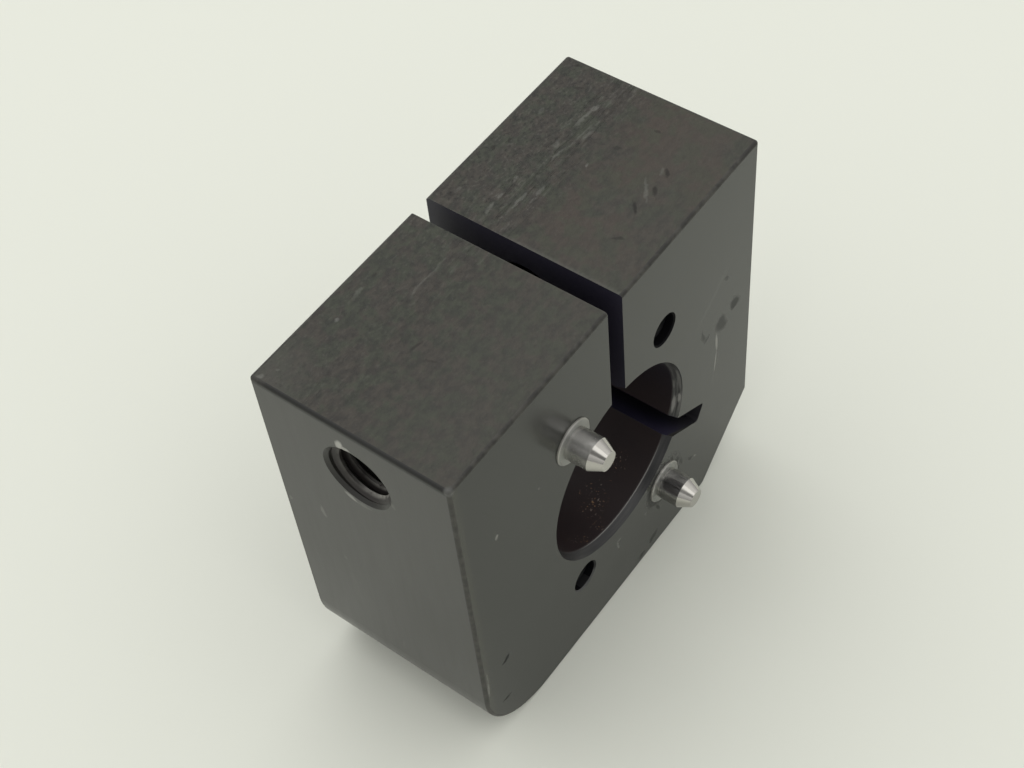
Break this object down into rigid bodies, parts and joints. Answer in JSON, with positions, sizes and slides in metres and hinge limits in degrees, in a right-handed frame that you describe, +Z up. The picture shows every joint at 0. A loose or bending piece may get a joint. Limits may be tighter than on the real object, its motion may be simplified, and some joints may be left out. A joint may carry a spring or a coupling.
{
  "type": "split clamp mounting block",
  "caption": "Split clamping block with a bevelled bore, cross hole for a clamping screw, relief slot, tapped holes and shouldered locating pins.",
  "frame": {"origin": "on the bore's axis, at the middle of the block's depth", "axes": "+Z up through the slit, X across the jaws, Y along the bore with the front face and its pins towards -Y"},
  "size_m": [0.055, 0.03, 0.0541],
  "materials": {
    "blackened_steel": "blackened, semi-gloss milled faces, with scale pits on the top",
    "bright_steel": "turned and polished"
  },
  "bodies": {
    "root": {"clamp_block": "blackened_steel", "upper_left_pin": "bright_steel", "lower_right_pin": "bright_steel"}
  },
  "joints": []
}
